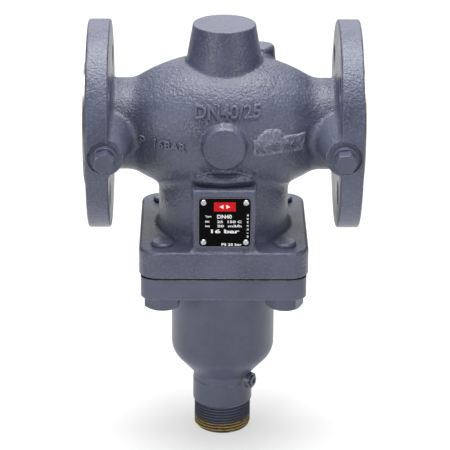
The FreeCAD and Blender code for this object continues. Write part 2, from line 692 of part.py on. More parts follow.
def build_seal_spacer():
    upper, lower = SEAL_CENTRES
    reach = SEAL_WIRE_RADIUS + 0.1
    return tube(GUIDE_BUSH_RADIUS - 0.1, STEM_RADIUS + 0.1, lower + reach, upper - reach)


def build_gland_nut():
    """Screwed gland below the seals, with a hexagon to turn it by."""
    shank_top = SEAL_CENTRES[1] - SEAL_WIRE_RADIUS - 0.1
    shank = rod(GUIDE_BUSH_RADIUS, GLAND_SHOULDER - 1, shank_top)
    head = hexagon(19, GLAND_SHOULDER - 8, GLAND_SHOULDER, chamfer_bottom=True)
    return fuse_all([shank, head]).cut(rod(STEM_RADIUS + 0.1, GLAND_SHOULDER - 9, shank_top + 1))


# ---------------------------------------------------------------- bellows, its base and the spring


def build_bellows():
    """A convoluted tube, its folds drawn as rounded zigzags of even wall."""
    wall = 0.5
    fold = (BELLOWS_TOP - BELLOWS_BOTTOM) / BELLOWS_FOLDS

    def folded_line(root, crest):
        """One side of the wall: root, crest and back to root, fold after fold."""
        line = []
        for i in range(BELLOWS_FOLDS):
            z = BELLOWS_BOTTOM + i * fold
            line += [(root, z), (crest, z + fold * 0.4), (crest, z + fold * 0.6)]
        return line + [(root, BELLOWS_TOP)]

    inner = folded_line(BELLOWS_ROOT_RADIUS, BELLOWS_RADIUS - wall)
    outer = folded_line(BELLOWS_ROOT_RADIUS + wall, BELLOWS_RADIUS)
    return turned(inner + outer[::-1])


def build_bellows_base():
    disc = rod(CUP_BORE_RADIUS - 0.2, BASE_BOTTOM, BASE_TOP)
    return disc.cut(rod(STEM_RADIUS + 0.6, BASE_BOTTOM - 1, BASE_TOP + 1))


def build_bellows_base_gasket():
    return tube(CUP_BORE_RADIUS - 0.2, 22, CUP_FLOOR, BASE_BOTTOM)


def build_bellows_retaining_ring():
    """Snap ring in the cup's groove, open on one side."""
    ring = tube(CUP_BORE_RADIUS + 1.4, CUP_BORE_RADIUS - 3, RETAINER_BOTTOM + 0.1, RETAINER_TOP - 0.1)
    return ring.cut(Part.makeBox(12, 10, 6, vec(CUP_BORE_RADIUS - 8, -5, RETAINER_BOTTOM - 2)))


def build_closing_spring():
    """Compression spring round the stem, between the bellows base and the moving head."""
    low = BELLOWS_BOTTOM + SPRING_WIRE_RADIUS + 0.1
    length = HEAD_BOTTOM - BELLOWS_BOTTOM - 2 * SPRING_WIRE_RADIUS - 0.2
    helix = Part.makeHelix(length / SPRING_TURNS, length, SPRING_RADIUS)
    helix.translate(vec(0, 0, low))
    wire_section = Part.Wire(Part.makeCircle(SPRING_WIRE_RADIUS, vec(SPRING_RADIUS, 0, low), ALONG_Y))
    return Part.Wire(helix).makePipeShell([wire_section], True, True)


# ---------------------------------------------------------------- stem and plug


def build_valve_plug():
    """Balanced plug: a cone that closes upwards on the seat, with holes through to the bellows."""
    gap = 0.2
    nose_radius = 18.3
    nose = SEAT_RADIUS - nose_radius + SEAT_EDGE + 2 - gap
    shoulder = nose - (PLUG_RADIUS - nose_radius)
    plug = turned([
        (PLUG_SEAT_RADIUS, HUB_BOTTOM), (18, HUB_BOTTOM), (18, PLUG_BOTTOM), (PLUG_RADIUS, PLUG_BOTTOM),
        (PLUG_RADIUS, shoulder), (nose_radius, nose), (12, PLUG_NOSE_TOP), (PLUG_SEAT_RADIUS, PLUG_NOSE_TOP),
    ])
    return cut_all(plug, balance_holes(HUB_BOTTOM - 1, PLUG_NOSE_TOP))


def balance_holes(bottom, top):
    """Four drillings that let line pressure through to the inside of the bellows."""
    angles = [math.radians(45 + 90 * i) for i in range(4)]
    reach = BALANCE_HOLE_CIRCLE
    return [rod(2.0, bottom, top, reach * math.cos(a), reach * math.sin(a)) for a in angles]


def build_valve_stem():
    return turned([
        (0, STEM_FOOT), (STEM_RADIUS - 0.8, STEM_FOOT), (STEM_RADIUS, STEM_FOOT + 0.8),
        (STEM_RADIUS, HEAD_BOTTOM - 4), (9, HEAD_BOTTOM - 4), (9, HEAD_BOTTOM),
        (PLUG_SEAT_RADIUS, HEAD_BOTTOM), (PLUG_SEAT_RADIUS, 3), (STEM_RADIUS, 4),
        (STEM_RADIUS, 59.2), (STEM_RADIUS - 0.8, 60), (0, 60),
    ])


def build_bellows_head():
    """Disc under the plug that carries the moving end of the bellows on a rim."""
    rim = BELLOWS_RADIUS - 0.5
    head = turned([
        (PLUG_SEAT_RADIUS, HEAD_BOTTOM), (BELLOWS_ROOT_RADIUS, HEAD_BOTTOM), (BELLOWS_ROOT_RADIUS, BELLOWS_TOP),
        (rim, BELLOWS_TOP), (rim, HUB_BOTTOM), (PLUG_SEAT_RADIUS, HUB_BOTTOM),
    ])
    return cut_all(head, balance_holes(HEAD_BOTTOM - 1, HUB_BOTTOM + 1))


def build_plug_washer():
    return tube(11.5, PLUG_SEAT_RADIUS, PLUG_NOSE_TOP, PLUG_WASHER_TOP)


def build_plug_nut():
    nut = hexagon(18, PLUG_WASHER_TOP, PLUG_NUT_TOP, chamfer_top=True)
    return nut.cut(rod(PLUG_SEAT_RADIUS, PLUG_WASHER_TOP - 1, PLUG_NUT_TOP + 1))


def build_stem_lock_nut():
    nut = hexagon(16, COUPLING_TOP, LOCK_NUT_TOP, turn=15, chamfer_top=True)
    return nut.cut(rod(STEM_RADIUS, COUPLING_TOP - 1, LOCK_NUT_TOP + 1))


def build_stem_coupling():
    """Button on the stem's foot, with a groove that the actuator's claw holds."""
    coupling = turned([
        (0, COUPLING_BOTTOM), (7.2, COUPLING_BOTTOM), (8, COUPLING_BOTTOM + 0.8), (8, -228), (5.9, -228),
        (5.9, -226), (8, -226), (8, COUPLING_TOP), (0, COUPLING_TOP),
    ])
    return coupling.cut(rod(STEM_RADIUS, STEM_FOOT, COUPLING_TOP + 1))


NODES = {
    "valve_body": build_valve_body,
    "bonnet": build_bonnet,
    "bonnet_gasket": build_bonnet_gasket,
    "bonnet_bolts": build_bonnet_bolts,
    "actuator_nipple": build_actuator_nipple,
    "nipple_lock_screw": build_nipple_lock_screw,
    "inlet_tapping_plug": lambda: build_tapping_plug(-1),
    "outlet_tapping_plug": lambda: build_tapping_plug(1),
    "inlet_plug_washer": lambda: build_tapping_washer(-1),
    "outlet_plug_washer": lambda: build_tapping_washer(1),
    "name_plate": build_name_plate,
    "name_plate_rivets": build_name_plate_rivets,
    "seat_ring": build_seat_ring,
    "seat_ring_gasket": build_seat_ring_gasket,
    "upper_guide_bush": build_upper_guide_bush,
    "stem_guide_bush": build_stem_guide_bush,
    "stem_o_rings": build_stem_o_rings,
    "seal_spacer": build_seal_spacer,
    "gland_nut": build_gland_nut,
    "bellows": build_bellows,
    "bellows_base": build_bellows_base,
    "bellows_base_gasket": build_bellows_base_gasket,
    "bellows_retaining_ring": build_bellows_retaining_ring,
    "closing_spring": build_closing_spring,
    "valve_plug": build_valve_plug,
    "valve_stem": build_valve_stem,
    "plug_washer": build_plug_washer,
    "plug_nut": build_plug_nut,
    "bellows_head": build_bellows_head,
    "stem_coupling": build_stem_coupling,
    "stem_lock_nut": build_stem_lock_nut,
}


def main():
    os.makedirs("parts", exist_ok=True)
    for name, build in NODES.items():
        shape = build()
        solids = len(shape.Solids)
        state = "ok" if shape.isValid() else "NOT VALID"
        print(f"{name}: {solids} solid(s), {shape.Volume / 1000:.2f} cm3, {state}")
        shape.exportStep(f"parts/{name}.step")


main()
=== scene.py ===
"""Looks of a DN 40 pressure reducing valve: painted grey iron, its plate, plugs and threaded neck.

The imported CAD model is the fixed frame. This script paints its nodes and adds what the foundry, the
painter, the engraver and the thread cutter add: raised lettering, a cast brow, print, real threads,
folded bellows and a wound spring. Sizes are millimetres until a mesh is handed over in metres.
"""

import logging
import math
from dataclasses import dataclass, field
from enum import Enum
from typing import Callable

import bmesh
import bpy
from mathutils import Matrix, Vector, noise
from mathutils.bvhtree import BVHTree


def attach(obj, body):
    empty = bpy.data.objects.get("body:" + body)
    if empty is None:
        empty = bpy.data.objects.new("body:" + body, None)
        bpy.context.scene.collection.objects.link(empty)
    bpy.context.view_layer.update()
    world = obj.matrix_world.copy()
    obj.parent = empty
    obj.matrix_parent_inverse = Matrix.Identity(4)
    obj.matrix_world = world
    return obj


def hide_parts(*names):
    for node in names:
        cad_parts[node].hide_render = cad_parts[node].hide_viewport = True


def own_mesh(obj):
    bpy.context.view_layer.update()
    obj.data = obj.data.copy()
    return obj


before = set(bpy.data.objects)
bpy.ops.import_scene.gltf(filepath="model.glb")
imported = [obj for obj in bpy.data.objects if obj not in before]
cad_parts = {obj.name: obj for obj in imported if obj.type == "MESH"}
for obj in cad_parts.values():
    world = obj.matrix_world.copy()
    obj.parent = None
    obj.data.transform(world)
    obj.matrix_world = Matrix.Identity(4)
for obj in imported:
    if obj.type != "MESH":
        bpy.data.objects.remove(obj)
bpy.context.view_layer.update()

MM = 0.001
STEM_AXIS = Vector((0, 0, 1))
LOG = logging.getLogger("valve")

# Vertices nearer than these, in millimetres, are one: in a finished piece, along a seam, and at a cut.
MERGE = 1e-4
SEAM_MERGE = 1e-3
CUT_MERGE = 1e-5


class Body(Enum):
    """The body that the new pieces ride on. The stem's parts are all CAD nodes, which ride already."""

    VALVE = "valve"


class Edge(Enum):
    """How sharp a fold has to be, in degrees, before it is shaded as an edge."""

    CAST = 50
    MACHINED = 30


# ---------- colour and node helpers


def linear(hex_code: str) -> tuple[float, float, float, float]:
    """Turn an sRGB hex code into linear light.

    Args:
        hex_code: Six hex digits, with or without a leading hash.

    Returns:
        Red, green, blue and an alpha of 1.
    """
    digits = hex_code.lstrip("#")
    channels = [int(digits[i:i + 2], 16) / 255 for i in (0, 2, 4)]
    curve = [c / 12.92 if c <= 0.04045 else ((c + 0.055) / 1.055) ** 2.4 for c in channels]
    return (*curve, 1.0)


def per_mm(size: float) -> float:
    """Texture scale that gives a pattern a repeat of so many millimetres."""
    return 1 / (size * MM)


NOISE = "ShaderNodeTexNoise"
RANGE = "ShaderNodeMapRange"
MIX = "ShaderNodeMix"
MATH = "ShaderNodeMath"
VECTOR = "ShaderNodeVectorMath"
BUMP = "ShaderNodeBump"
COLOURS = {"data_type": "RGBA"}
FIRST, SECOND, MIXED = 6, 7, 2
VECTOR_FIRST, VECTOR_SECOND, VECTOR_MIXED = 4, 5, 1

# A noise keeps mostly within these bounds, which stretch it to full contrast or a little less.
CONTRAST = {"From Min": 0.35, "From Max": 0.65}
SOFT_CONTRAST = {"From Min": 0.3, "From Max": 0.7}
ROUGH_NOISE = {"Detail": 3.0, "Roughness": 0.6}


def add_node(tree: bpy.types.NodeTree, kind: str, out: str | int, settings: dict | None = None,
             links: dict | None = None) -> bpy.types.NodeSocket:
    """Add one shader node.

    Args:
        tree: The material's node tree.
        kind: The node's type name.
        out: Which output is wanted.
        settings: Values by attribute name, or by input name or number. A colour ramp's "stops" are
            places from 0 to 1 with their sRGB hex colours.
        links: Output sockets by the input name or number that they feed.

    Returns:
        The output that was asked for.
    """
    node = tree.nodes.new(kind)
    for key, value in (settings or {}).items():
        if key == "stops":
            elements = node.color_ramp.elements
            for _ in value[2:]:
                elements.new(0.5)
            for element, (place, colour) in zip(elements, value):
                element.position = place
                element.color = linear(colour)
        elif isinstance(key, str) and key not in node.inputs:
            setattr(node, key, value)
        else:
            node.inputs[key].default_value = value
    for key, socket in (links or {}).items():
        tree.links.new(socket, node.inputs[key])
    return node.outputs[out]


# ---------- finishes


@dataclass(frozen=True)
class Finish:
    """A surface finish. Subclasses draw their colour, relief and the pattern that their gloss follows."""

    name: str
    gloss: tuple[float, float] = (0.3, 0.4)

    def material(self) -> bpy.types.Material:
        """Make the material, or return it if it is made already.

        Returns:
            The node material of this finish.
        """
        found = bpy.data.materials.get(self.name)
        if found:
            return found
        material = bpy.data.materials.new(self.name)
        material.use_nodes = True
        tree = material.node_tree
        shader = tree.nodes["Principled BSDF"]
        coords = add_node(tree, "ShaderNodeTexCoord", "Object")
        feeds = self.draw(tree, shader, coords)
        low, high = self.gloss
        feeds["Roughness"] = add_node(tree, RANGE, "Result", {
            **SOFT_CONTRAST, "To Min": low, "To Max": high}, {"Value": feeds["Roughness"]})
        for socket, source in feeds.items():
            tree.links.new(source, shader.inputs[socket])
        return material

    def draw(self, tree: bpy.types.NodeTree, shader: bpy.types.Node,
             coords: bpy.types.NodeSocket) -> dict[str, bpy.types.NodeSocket]:
        """Fill the node tree.

        Args:
            tree: The material's node tree.
            shader: Its Principled BSDF.
            coords: The object coordinates, in metres.

        Returns:
            What feeds the shader, by the input's name. Roughness gets a noise, which the gloss stretches.
        """
        raise NotImplementedError


@dataclass(frozen=True)
class CastPaint(Finish):
    """Semi-gloss alkyd enamel sprayed on shot-blasted grey iron: the sand grain shows through it.

    The film rounds the grain into small glossy lumps, and the glints on them are painted in as lighter
    flecks. Its edges are painted paler, partly as paint thinned by wear and partly as painted highlight.
    Real grain is under a millimetre, and is drawn about twice as coarse so that it shows.
    """

    shade: str = "#4B5064"
    shade_dark: str = "#3F4355"
    # Colour of the glints painted on the grain.
    glint_tint: str = "#6A6E80"
    # Colour of the pale edges: paint thinned by wear, and painted highlight.
    wear_and_highlight_tint: str = "#858996"
    cloud: float = 26.0
    grain: float = 1.7
    grain_depth: float = 0.75
    swell: float = 6.5
    swell_depth: float = 0.9
    edge: float = 1.2
    glint_share: float = 0.42
    gloss: tuple[float, float] = (0.27, 0.42)

    def draw(self, tree: bpy.types.NodeTree, shader: bpy.types.Node,
             coords: bpy.types.NodeSocket) -> dict[str, bpy.types.NodeSocket]:
        """Lay the paint over the grain with painted glints, and pale its edges as wear and painted highlight.

        Args:
            tree: The node tree.
            shader: Its Principled BSDF.
            coords: The object coordinates, in metres.

        Returns:
            What feeds the shader, by input.
        """
        cloud = add_node(tree, NOISE, "Fac", {"Scale": per_mm(self.cloud), "Detail": 3.0},
                         {"Vector": coords})
        grains = add_node(tree, NOISE, "Fac", {"Scale": per_mm(self.grain), "Detail": 2.5, "Roughness": 0.6},
                          {"Vector": coords})
        swells = add_node(tree, NOISE, "Fac", {"Scale": per_mm(self.swell)}, {"Vector": coords})
        drift = add_node(tree, RANGE, "Result", CONTRAST, {"Value": cloud})
        colour = add_node(tree, MIX, MIXED, {
            **COLOURS, FIRST: linear(self.shade_dark), SECOND: linear(self.shade)}, {0: drift})
        # Lighter flecks on the grain's peaks: painted glints.
        painted_glints = add_node(tree, RANGE, "Result", {
            "From Min": 0.48, "From Max": 0.72, "To Max": self.glint_share}, {"Value": grains})
        bevel = add_node(tree, "ShaderNodeBevel", "Normal", {"samples": 6, "Radius": self.edge * MM})
        plain = add_node(tree, "ShaderNodeNewGeometry", "Normal")
        same = add_node(tree, VECTOR, "Value", {"operation": "DOT_PRODUCT"}, {0: bevel, 1: plain})
        edges = add_node(tree, RANGE, "Result", {"From Min": 0.995, "From Max": 0.86}, {"Value": same})
        patchy = add_node(tree, RANGE, "Result", {"From Min": 0.38, "From Max": 0.62}, {"Value": grains})
        # Pale edges, patchy along them: partly wear, partly painted highlight.
        wear_and_highlight = add_node(tree, MATH, "Value", {"operation": "MULTIPLY"}, {0: edges, 1: patchy})
        for share, tint in ((painted_glints, self.glint_tint), (wear_and_highlight, self.wear_and_highlight_tint)):
            colour = add_node(tree, MIX, MIXED, {**COLOURS, SECOND: linear(tint)}, {0: share, FIRST: colour})
        normal = bevel
        for relief, depth, strength in ((swells, self.swell_depth, 0.5), (grains, self.grain_depth, 0.8)):
            normal = add_node(tree, BUMP, "Normal", {"Distance": depth * MM, "Strength": strength},
                              {"Height": relief, "Normal": normal})
        return {"Base Color": colour, "Roughness": cloud, "Normal": normal}


@dataclass(frozen=True)
class PaintedFlangedBody(CastPaint):
    """The same enamel, with the sealing faces and the bore left as turned grey iron under thin oil."""

    face: float = 97.2
    bore: float = 20.6
    ring_pitch: float = 1.2
    ring_depth: float = 0.08
    blotch: float = 9.0
    iron: tuple[str, str] = ("#7A7772", "#9A9690")

    def draw(self, tree: bpy.types.NodeTree, shader: bpy.types.Node,
             coords: bpy.types.NodeSocket) -> dict[str, bpy.types.NodeSocket]:
        """Paint the casting, then bare it beyond the face and inside the bore.

        Args:
            tree: The node tree.
            shader: Its Principled BSDF.
            coords: The object coordinates, in metres.

        Returns:
            What feeds the shader, by input.
        """
        paint = super().draw(tree, shader, coords)
        along = add_node(tree, VECTOR, "Vector", {"operation": "ABSOLUTE"}, {0: coords})
        along = add_node(tree, VECTOR, "Value", {"operation": "DOT_PRODUCT", 1: (1, 0, 0)}, {0: along})
        face = add_node(tree, MATH, "Value", {"operation": "GREATER_THAN", 1: self.face * MM}, {0: along})
        across = add_node(tree, VECTOR, "Vector", {"operation": "MULTIPLY", 1: (0, 1, 1)}, {0: coords})
        reach = add_node(tree, VECTOR, "Value", {"operation": "LENGTH"}, {0: across})
        bore = add_node(tree, MATH, "Value", {"operation": "LESS_THAN", 1: self.bore * MM}, {0: reach})
        bare = add_node(tree, MATH, "Value", {"operation": "MAXIMUM"}, {0: face, 1: bore})
        blotch = add_node(tree, NOISE, "Fac", {"Scale": per_mm(self.blotch), "Detail": 4.0, "Roughness": 0.6},
                          {"Vector": coords})
        dark, light = self.iron
        metal = add_node(tree, "ShaderNodeValToRGB", "Color", {"stops": [(0.35, dark), (0.65, light)]},
                         {"Fac": blotch})
        rings = add_node(tree, "ShaderNodeTexWave", "Fac", {
            "wave_type": "RINGS", "rings_direction": "X", "Scale": per_mm(self.ring_pitch) / math.tau,
            "Distortion": 0.3}, {"Vector": coords})
        tooled = add_node(tree, BUMP, "Normal", {"Distance": self.ring_depth * MM, "Strength": 0.7},
                          {"Height": rings})
        colour = add_node(tree, MIX, MIXED, COLOURS,
                          {0: bare, FIRST: paint["Base Color"], SECOND: metal})
        normal = add_node(tree, MIX, VECTOR_MIXED, {"data_type": "VECTOR"},
                          {0: bare, VECTOR_FIRST: paint["Normal"], VECTOR_SECOND: tooled})
        return {"Base Color": colour, "Metallic": bare, "Roughness": paint["Roughness"], "Normal": normal}


@dataclass(frozen=True)
class YellowChromate(Finish):
    """Zinc plated steel with a yellow chromate: gold, olive and pink drift over it.

    The thread's roots are painted darker, as shade. The painter's overspray covers the turns nearest the
    neck and thins out downwards.
    """

    root_shade: str = "#1B170F"
    soil: str = "#3A3527"
    paint: str = "#474C5C"
    paint_end: float = -232.2
    paint_full: float = -230.6
    root: float = 19.6
    crest: float = 20.5
    film: float = 0.85
    drift: float = 6.0
    grime: float = 1.8
    ragged: float = 7.0
    gloss: tuple[float, float] = (0.24, 0.4)

    def draw(self, tree: bpy.types.NodeTree, shader: bpy.types.Node,
             coords: bpy.types.NodeSocket) -> dict[str, bpy.types.NodeSocket]:
        """Drift the chromate's colours, paint shade into the roots, soil it in patches, then spray the top
        turns grey.

        Args:
            tree: The node tree.
            shader: Its Principled BSDF.
            coords: The object coordinates, in metres.

        Returns:
            What feeds the shader, by input.
        """
        drift = add_node(tree, NOISE, "Fac", {**ROUGH_NOISE, "Scale": per_mm(self.drift)}, {"Vector": coords})
        grime = add_node(tree, NOISE, "Fac", {**ROUGH_NOISE, "Scale": per_mm(self.grime)}, {"Vector": coords})
        colour = add_node(tree, "ShaderNodeValToRGB", "Color", {"stops": [
            (0.3, "#8E8A58"), (0.43, "#D2B870"), (0.5, "#AFAE80"), (0.57, "#CFA384"), (0.7, "#B9C3A0"),
        ]}, {"Fac": drift})
        flat = add_node(tree, VECTOR, "Vector", {"operation": "MULTIPLY", 1: (1, 1, 0)}, {0: coords})
        reach = add_node(tree, VECTOR, "Value", {"operation": "LENGTH"}, {0: flat})
        # Darker towards the thread's roots: painted shade.
        shaded_roots = add_node(tree, RANGE, "Result", {
            "From Min": self.crest * MM, "From Max": self.root * MM, "To Max": 0.92}, {"Value": reach})
        soiled = add_node(tree, RANGE, "Result", {"From Min": 0.52, "From Max": 0.72, "To Max": 0.7},
                          {"Value": grime})
        height = add_node(tree, "ShaderNodeSeparateXYZ", "Z", None, {"Vector": coords})
        edge = add_node(tree, MATH, "Value", {"operation": "MULTIPLY_ADD", 1: self.ragged * MM},
                        {0: drift, 2: height})
        low, high = ((end + self.ragged / 2) * MM for end in (self.paint_end, self.paint_full))
        sprayed = add_node(tree, RANGE, "Result", {"From Min": low, "From Max": high}, {"Value": edge})
        for share, tint in ((shaded_roots, self.root_shade), (soiled, self.soil), (sprayed, self.paint)):
            colour = add_node(tree, MIX, MIXED, {**COLOURS, SECOND: linear(tint)}, {0: share, FIRST: colour})
        metal = add_node(tree, RANGE, "Result", {"To Min": self.film, "To Max": 0.0}, {"Value": sprayed})
        normal = add_node(tree, BUMP, "Normal", {"Distance": 0.1 * MM, "Strength": 0.6}, {"Height": grime})
        return {"Base Color": colour, "Metallic": metal, "Roughness": grime, "Normal": normal}


@dataclass(frozen=True)
class PrintedPlate(Finish):
    """Black anodised aluminium, engraved through to a bright rim along its edge."""

    black: str = "#020203"
    dulled: str = "#151617"
    bare: str = "#8A8D91"
    half: float = 18.3
    corner: float = 3.0
    centre_x: float = 0.5
    centre_z: float = -53.7
    edge: float = 0.05
    dust: float = 0.9
    shine: float = 0.05
    gloss: tuple[float, float] = (0.3, 0.42)

    def draw(self, tree: bpy.types.NodeTree, shader: bpy.types.Node,
             coords: bpy.types.NodeSocket) -> dict[str, bpy.types.NodeSocket]:
        """Black inside a rounded square, bare metal outside it.

        Args:
            tree: The node tree.
            shader: Its Principled BSDF.
            coords: The object coordinates, in metres.

        Returns:
            What feeds the shader, by input.
        """
        inner = (self.half - self.corner) * MM
        place = coords
        for operation, value in (("SUBTRACT", (self.centre_x * MM, 0, self.centre_z * MM)),
                                 ("MULTIPLY", (1, 0, 1)), ("ABSOLUTE", (0, 0, 0)),
                                 ("SUBTRACT", (inner, 0, inner)), ("MAXIMUM", (0, 0, 0))):
            place = add_node(tree, VECTOR, "Vector", {"operation": operation, 1: value}, {0: place})
        reach = add_node(tree, VECTOR, "Value", {"operation": "LENGTH"}, {0: place})
        rim = add_node(tree, RANGE, "Result", {
            "From Min": (self.corner - self.edge) * MM, "From Max": (self.corner + self.edge) * MM,
        }, {"Value": reach})
        dust = add_node(tree, NOISE, "Fac", {**ROUGH_NOISE, "Scale": per_mm(self.dust)}, {"Vector": coords})
        dusty = add_node(tree, RANGE, "Result", {"From Min": 0.58, "From Max": 0.8, "To Max": 0.3},
                         {"Value": dust})
        colour = add_node(tree, MIX, MIXED, {
            **COLOURS, FIRST: linear(self.black), SECOND: linear(self.dulled)}, {0: dusty})
        colour = add_node(tree, MIX, MIXED, {**COLOURS, SECOND: linear(self.bare)}, {0: rim, FIRST: colour})
        normal = add_node(tree, BUMP, "Normal", {"Distance": 0.01 * MM, "Strength": 0.4}, {"Height": dust})
        shader.inputs["Specular IOR Level"].default_value = self.shine
        return {"Base Color": colour, "Metallic": rim, "Roughness": dust, "Normal": normal}


@dataclass(frozen=True)
class PlainFinish(Finish):
    """A surface of one material with a slight mottle and the fine marks of how it was made."""

    light: str = "#C9CBCE"
    dark: str = "#A9ABAF"
    gloss: tuple[float, float] = (0.22, 0.36)
    mottle: float = 3.0
    marks: float = 0.5
    depth: float = 0.02
    metal: bool = True
    shine: float = 0.5

    def draw(self, tree: bpy.types.NodeTree, shader: bpy.types.Node,
             coords: bpy.types.NodeSocket) -> dict[str, bpy.types.NodeSocket]:
        """Mottle the colour, and mark the surface lightly.

        Args:
            tree: The node tree.
            shader: Its Principled BSDF.
            coords: The object coordinates, in metres.

        Returns:
            What feeds the shader, by input.
        """
        blotch = add_node(tree, NOISE, "Fac", {**ROUGH_NOISE, "Scale": per_mm(self.mottle)},
                          {"Vector": coords})
        marks = add_node(tree, NOISE, "Fac", {"Scale": per_mm(self.marks)}, {"Vector": coords})
        share = add_node(tree, RANGE, "Result", CONTRAST, {"Value": blotch})
        colour = add_node(tree, MIX, MIXED, {
            **COLOURS, FIRST: linear(self.dark), SECOND: linear(self.light)}, {0: share})
        normal = add_node(tree, BUMP, "Normal", {"Distance": self.depth * MM, "Strength": 0.5},
                          {"Height": marks})
        shader.inputs["Metallic"].default_value = 1.0 if self.metal else 0.0
        shader.inputs["Specular IOR Level"].default_value = self.shine
        return {"Base Color": colour, "Roughness": marks, "Normal": normal}


# Sprayed enamel over sand-cast skin: a blue-grey satin broken up by the grain, with glints painted on as
# lighter flecks.
CAST_PAINT = CastPaint("enamel_on_sand_cast_iron")
# The same on the flanged body, whose sealing faces and bore are bare: dull turned rings.
BODY_PAINT = PaintedFlangedBody("enamel_and_turned_faces_of_cast_iron")
# The same over a patch reworked in the mould: coarser, painted paler as painted highlight where it catches
# the light, and it glitters with painted glints.
LIT_REWORKED_PAINT = CastPaint("lighter_painted_enamel_on_reworked_cast_iron", shade="#656A7C", shade_dark="#54596B",
                           glint_tint="#969AA8", wear_and_highlight_tint="#9A9EA9", grain=1.9, grain_depth=1.2, glint_share=0.7)
# The same on turned iron: smooth, with long soft highlights.
BONNET_PAINT = CastPaint("enamel_on_turned_cast_iron", grain=2.1, grain_depth=0.12, swell=14.0,
                         swell_depth=0.3, glint_share=0.1, gloss=(0.32, 0.4))
# The same brushed on forged bolts and plugs: smooth, and paler on the corners of the hexagons, partly as wear
# and partly as painted highlight.
FASTENER_PAINT = CastPaint("enamel_on_steel_fastener", shade="#484D60", grain=1.4, grain_depth=0.1,
                           swell=6.0, swell_depth=0.15, edge=0.6, glint_share=0.1, gloss=(0.28, 0.4))
# Zinc plate passivated yellow: gold with green and pink in it, and painted shade in the roots.
CHROMATE = YellowChromate("yellow_chromate_on_zinc")
# Anodised black with a bare bright rim: almost no sheen.
PLATE = PrintedPlate("black_anodised_aluminium")
# Cold-headed aluminium: a small white glint.
RIVET = PlainFinish("drawn_aluminium_rivet", light="#D6D8DA", dark="#A7AAAE", gloss=(0.25, 0.4), mottle=0.8)
# Turned stainless steel: clean and bright grey.
STAINLESS = PlainFinish("turned_stainless_steel")
# Hydroformed thin stainless: brighter and smoother than turned.
BELLOWS_STEEL = PlainFinish("hydroformed_stainless_sheet", light="#BFC1C4", dark="#9C9EA2",
                            gloss=(0.18, 0.3))
# Oiled music wire: dark with a wet sheen.
SPRING_STEEL = PlainFinish("oiled_spring_steel", light="#6B6A68", dark="#4C4B4A", gloss=(0.3, 0.45))
# Turned tin bronze: warm brown-gold.
BRONZE = PlainFinish("turned_tin_bronze", light="#B98A52", dark="#96693A", gloss=(0.25, 0.4))
# Pressed graphite sheet: a near-black matt line.
GRAPHITE = PlainFinish("graphite_gasket_sheet", light="#1B1C1F", dark="#0E0F12", gloss=(0.45, 0.65),
                       metal=False, shine=0.2)
# Moulded rubber: matt black.
RUBBER = PlainFinish("moulded_epdm_rubber", light="#1B1B1C", dark="#101011", gloss=(0.5, 0.6), metal=False)
# Turned PTFE: waxy white.
PLASTIC = PlainFinish("turned_ptfe", light="#E4E2DC", dark="#D6D4CD", gloss=(0.4, 0.5), metal=False)
# Screen inks: flat, even and dull.
WHITE_INK = PlainFinish("white_screen_ink", light="#E8EAEC", dark="#C9CCD0", gloss=(0.45, 0.55),
                        mottle=0.5, metal=False, shine=0.2)
RED_INK = PlainFinish("red_screen_ink", light="#D0141C", dark="#B80F17", gloss=(0.4, 0.5), mottle=1.5,
                      metal=False, shine=0.1)


# ---------- mesh helpers


def put(name: str, data: bpy.types.ID) -> bpy.types.Object:
    """Put an object in the scene.

    Args:
        name: The object's name.
        data: Its mesh, curve, lamp or camera.

    Returns:
        The object.
    """
    made = bpy.data.objects.new(name, data)
    bpy.context.scene.collection.objects.link(made)
    return made


def hand_over(name: str, bm: bmesh.types.BMesh, body: Body, finish: Finish,
              edge: Edge = Edge.MACHINED) -> bpy.types.Object:
    """Turn a shape in millimetres into a finished piece in metres.

    Args:
        name: The piece's name.
        bm: The shape, which is used up.
        body: The body it rides on.
        finish: Its surface.
        edge: How sharp folds have to be to show as edges.

    Returns:
        The new object.
    """
    bmesh.ops.remove_doubles(bm, verts=bm.verts[:], dist=MERGE)
    bmesh.ops.recalc_face_normals(bm, faces=bm.faces[:])
    bmesh.ops.scale(bm, vec=(MM, MM, MM), verts=bm.verts[:])
    for face in bm.faces:
        face.smooth = True
    mesh = bpy.data.meshes.new(name)
    bm.to_mesh(mesh)
    bm.free()
    mesh.set_sharp_from_angle(angle=math.radians(edge.value))
    mesh.materials.append(finish.material())
    piece = put(name, mesh)
    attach(piece, body.value)
    LOG.info("%s: %d faces, on %s", name, len(mesh.polygons), body.value)
    return piece


def add_line(bm: bmesh.types.BMesh, points: list[tuple[float, float]]) -> list:
    """Draw an open outline of (radius, height) points in the plane that a spin turns.

    Args:
        bm: The bmesh that gets it.
        points: Its points, in order.

    Returns:
        Its vertices and edges, as spin takes them.
    """
    verts = [bm.verts.new((r, 0, z)) for r, z in points]
    edges = [bm.edges.new(pair) for pair in zip(verts, verts[1:])]
    return verts + edges


def rounded(centre: tuple[float, float], radius: float, start: float, end: float,
            steps: int = 4) -> list[tuple[float, float]]:
    """Points of an arc in an outline.

    Args:
        centre: Its (radius, height) centre.
        radius: The arc's own radius.
        start: First angle, in degrees from outwards.
        end: Last angle, in degrees.
        steps: Parts it is split into.

    Returns:
        Its points, both ends included.
    """
    angles = [math.radians(start + (end - start) * i / steps) for i in range(steps + 1)]
    return [(centre[0] + radius * math.cos(a), centre[1] + radius * math.sin(a)) for a in angles]


def turned_shape(points: list[tuple[float, float]], steps: int = 72) -> bmesh.types.BMesh:
    """Spin an outline about the stem axis.

    Args:
        points: (radius, height) points of the outline.
        steps: Parts of the full turn.

    Returns:
        The turned skin.
    """
    bm = bmesh.new()
    outline = add_line(bm, points)
    bmesh.ops.spin(bm, geom=outline, cent=(0, 0, 0), axis=STEM_AXIS, dvec=(0, 0, 0), angle=math.tau,
                   steps=steps, use_merge=True, use_duplicate=False)
    return bm


